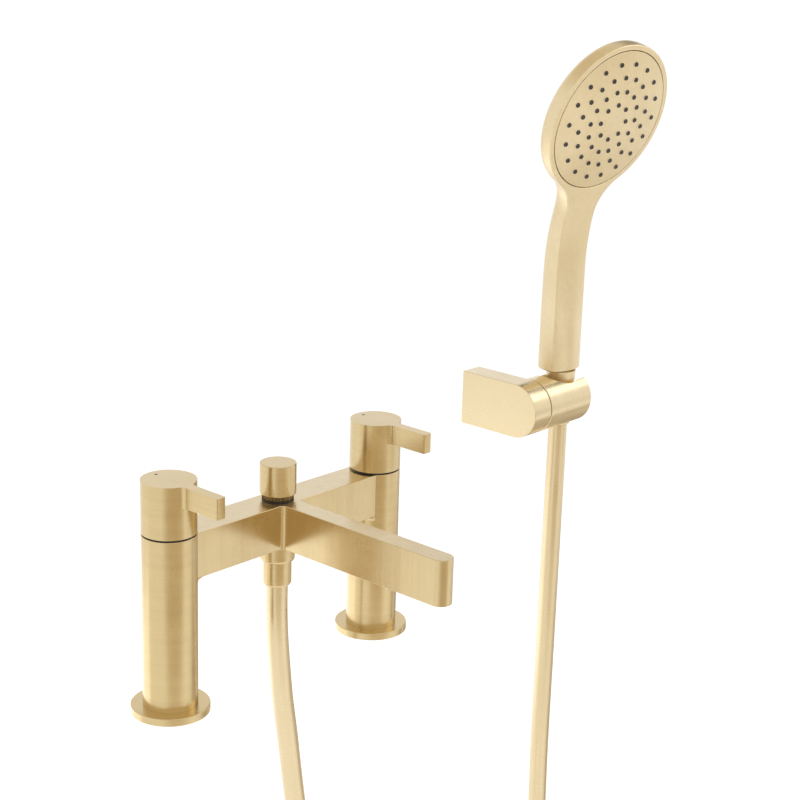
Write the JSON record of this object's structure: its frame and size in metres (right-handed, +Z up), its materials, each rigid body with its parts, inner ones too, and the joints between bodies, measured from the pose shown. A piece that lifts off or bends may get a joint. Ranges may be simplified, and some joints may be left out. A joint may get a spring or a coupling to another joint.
{
  "type": "bath shower mixer",
  "caption": "Deck-mounted bath shower mixer with lever knobs on pillars, a bridge with a blade spout and pull-up diverter, a hanging hose, a tilting wall holder and a round handset.",
  "frame": {"origin": "on the deck, midway between the two pillars' inlet sockets", "axes": "+X from the hot pillar to the cold one, -Y along the spout, +Z up"},
  "size_m": [0.4547, 0.189, 0.9407],
  "materials": {
    "brushed_gold": "brushed gold plate",
    "handset_gold": "satin gold plate on plastic",
    "hose_gold": "satin gold outer skin",
    "raw_brass": "machined",
    "steel": "machined",
    "black_plastic": "satin",
    "black_rubber": "matt",
    "grey_rubber": "matt",
    "ceramic": "polished ceramic",
    "white_plastic": "moulded",
    "index_red": "enamel",
    "index_blue": "enamel"
  },
  "bodies": {
    "mixer": {"pillar_hot": "brushed_gold", "pillar_cold": "brushed_gold", "flange_hot": "brushed_gold", "flange_cold": "brushed_gold", "glide_ring_hot": "black_plastic", "glide_ring_cold": "black_plastic", "cartridge_hot": "raw_brass", "cartridge_cold": "raw_brass", "seat_washer_hot": "black_rubber", "seat_washer_cold": "black_rubber", "fixed_disc_hot": "ceramic", "fixed_disc_cold": "ceramic", "union_hot": "raw_brass", "union_cold": "raw_brass", "bridge_body": "brushed_gold", "flow_insert": "black_plastic", "diverter_gland": "black_plastic", "outlet_nipple": "raw_brass", "outlet_washer": "black_rubber", "hose_nut": "brushed_gold", "ferrule": "brushed_gold", "hose": "hose_gold", "bracket_arm": "brushed_gold", "wall_plate": "steel", "arm_grub": "steel", "pivot_stud": "steel", "friction_washer": "black_plastic"},
    "lever_hot": {"lever_hot": "brushed_gold", "spindle_hot": "raw_brass", "moving_disc_hot": "ceramic", "lever_grub_hot": "steel", "index_hot": "index_red"},
    "lever_cold": {"lever_cold": "brushed_gold", "spindle_cold": "raw_brass", "moving_disc_cold": "ceramic", "lever_grub_cold": "steel", "index_cold": "index_blue"},
    "diverter": {"diverter_knob": "brushed_gold", "diverter_stem": "steel", "diverter_plunger": "raw_brass", "diverter_seal": "black_rubber"},
    "holder": {"holder": "brushed_gold"},
    "hose_cone": {"cone_nut": "brushed_gold", "hose_tail": "raw_brass", "cone_washer": "black_rubber"},
    "handset": {"handset_body": "handset_gold", "face_plate": "handset_gold", "nozzle_mat": "grey_rubber", "inlet_nipple": "raw_brass", "check_valve": "white_plastic"}
  },
  "joints": [
    {"name": "lever_hot_turn", "type": "hinge", "parent": "mixer", "child": "lever_hot", "pos_m": [-0.09, 0, 0.13], "axis": [0, 0, 1], "range_deg": [0, 90]},
    {"name": "lever_cold_turn", "type": "hinge", "parent": "mixer", "child": "lever_cold", "pos_m": [0.09, 0, 0.13], "axis": [0, 0, 1], "range_deg": [-90, 0]},
    {"name": "diverter_pull", "type": "slide", "parent": "mixer", "child": "diverter", "axis": [0, 0, 1], "range_m": [0, 0.01]},
    {"name": "holder_tilt", "type": "hinge", "parent": "mixer", "child": "holder", "pos_m": [0.2523, -0.005, 0.127], "axis": [1, 0, 0], "range_deg": [-15, 45]},
    {"name": "handset_lift", "type": "slide", "parent": "holder", "child": "hose_cone", "axis": [0, 0, 1], "range_m": [0, 0.06]},
    {"name": "handset_swivel", "type": "hinge", "parent": "hose_cone", "child": "handset", "pos_m": [0.287, -0.005, 0.149], "axis": [0, 0, 1], "range_deg": [-90, 90]}
  ]
}
